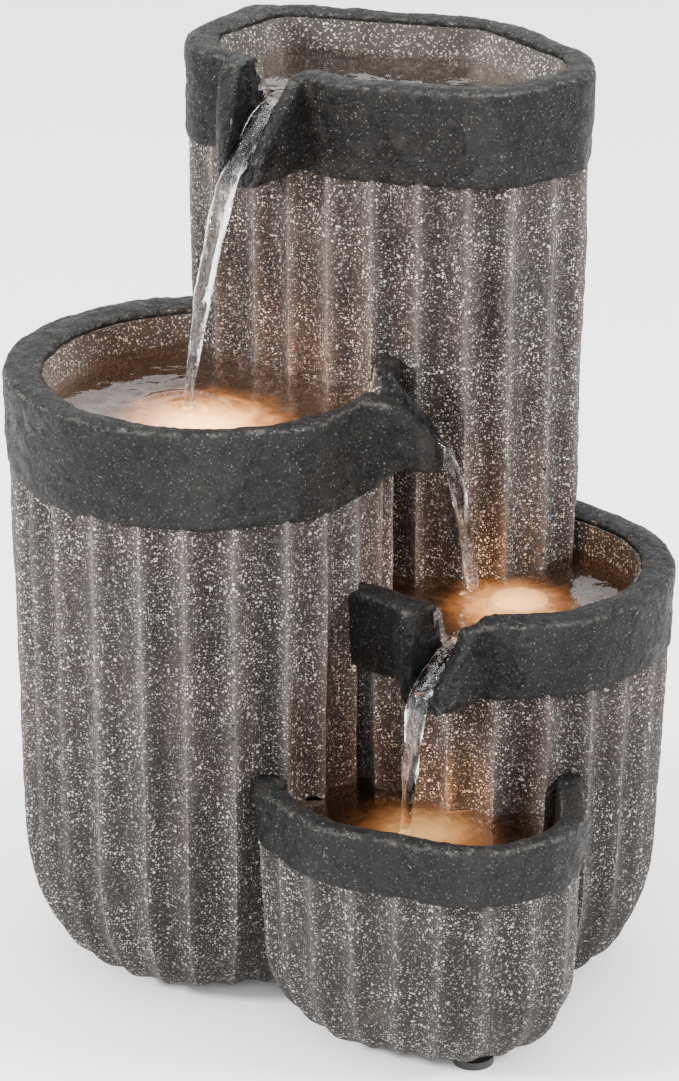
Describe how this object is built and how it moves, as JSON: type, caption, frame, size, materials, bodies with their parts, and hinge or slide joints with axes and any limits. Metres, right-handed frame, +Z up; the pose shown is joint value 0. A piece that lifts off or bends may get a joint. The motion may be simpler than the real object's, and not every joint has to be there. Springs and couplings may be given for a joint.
{
  "type": "tabletop water fountain",
  "caption": "Cascading tabletop water fountain: fluted stone pots joined in a descending spiral, each pouring through a chute into the next, with a pump and warm lamps inside.",
  "frame": {"origin": "middle of the footprint, on the table", "axes": "+Z up, front bowl towards -Y, tower at the back, left pot towards -X"},
  "size_m": [0.247, 0.234, 0.341],
  "materials": {
    "stone": "matte",
    "rim_stone": "satin",
    "basin_stone": "satin",
    "rubber": "matte",
    "pump_plastic": "satin",
    "dial_plastic": "satin",
    "magnet": "satin",
    "ceramic_shaft": "polished",
    "hose_vinyl": "gloss",
    "lamp_plastic": "satin",
    "lamp_board": "satin",
    "lens": "gloss",
    "lead_jacket": "matte",
    "potting": "matte",
    "door_plastic": "matte",
    "water": "gloss"
  },
  "bodies": {
    "root": {"tower_column": "stone", "left_column": "stone", "right_column": "stone", "front_bowl": "stone", "tower_rim": "rim_stone", "left_rim": "rim_stone", "right_rim": "rim_stone", "front_rim": "rim_stone", "tower_basin": "basin_stone", "left_basin": "basin_stone", "right_basin": "basin_stone", "rubber_feet": "rubber", "pump_feet": "rubber", "outlet_gasket": "rubber", "left_lamp_gasket": "rubber", "right_lamp_gasket": "rubber", "front_lamp_gasket": "rubber", "cord_grommet": "rubber", "pump_housing": "pump_plastic", "pump_volute": "pump_plastic", "pump_cover": "pump_plastic", "impeller_shaft": "ceramic_shaft", "shaft_bushes": "rubber", "outlet_nozzle": "pump_plastic", "riser_hose": "hose_vinyl", "basin_outlet": "pump_plastic", "outlet_nut": "pump_plastic", "left_lamp_housing": "lamp_plastic", "right_lamp_housing": "lamp_plastic", "front_lamp_housing": "lamp_plastic", "left_lamp_board": "lamp_board", "right_lamp_board": "lamp_board", "front_lamp_board": "lamp_board", "left_lamp_lens": "lens", "right_lamp_lens": "lens", "front_lamp_lens": "lens", "left_lamp_lead": "lead_jacket", "right_lamp_lead": "lead_jacket", "front_lamp_lead": "lead_jacket", "pump_lead": "lead_jacket", "lead_junction": "potting"},
    "rotor": {"impeller": "dial_plastic", "rotor_magnet": "magnet"},
    "screen": {"intake_screen": "pump_plastic"},
    "dial": {"flow_dial": "dial_plastic"},
    "door": {"access_door": "door_plastic"}
  },
  "joints": [
    {"name": "impeller_spin", "type": "hinge", "parent": "root", "child": "rotor", "pos_m": [0.018, 0.056, 0.034], "axis": [-1, 0, 0], "continuous": true},
    {"name": "screen_pull", "type": "slide", "parent": "root", "child": "screen", "axis": [-1, 0, 0], "range_m": [0, 0.008]},
    {"name": "dial_turn", "type": "hinge", "parent": "screen", "child": "dial", "pos_m": [-0.0078, 0.056, 0.034], "axis": [-1, 0, 0], "range_deg": [0, 90]},
    {"name": "door_pull", "type": "slide", "parent": "root", "child": "door", "axis": [0.2019, 0.9794, 0], "range_m": [0, 0.03]}
  ]
}
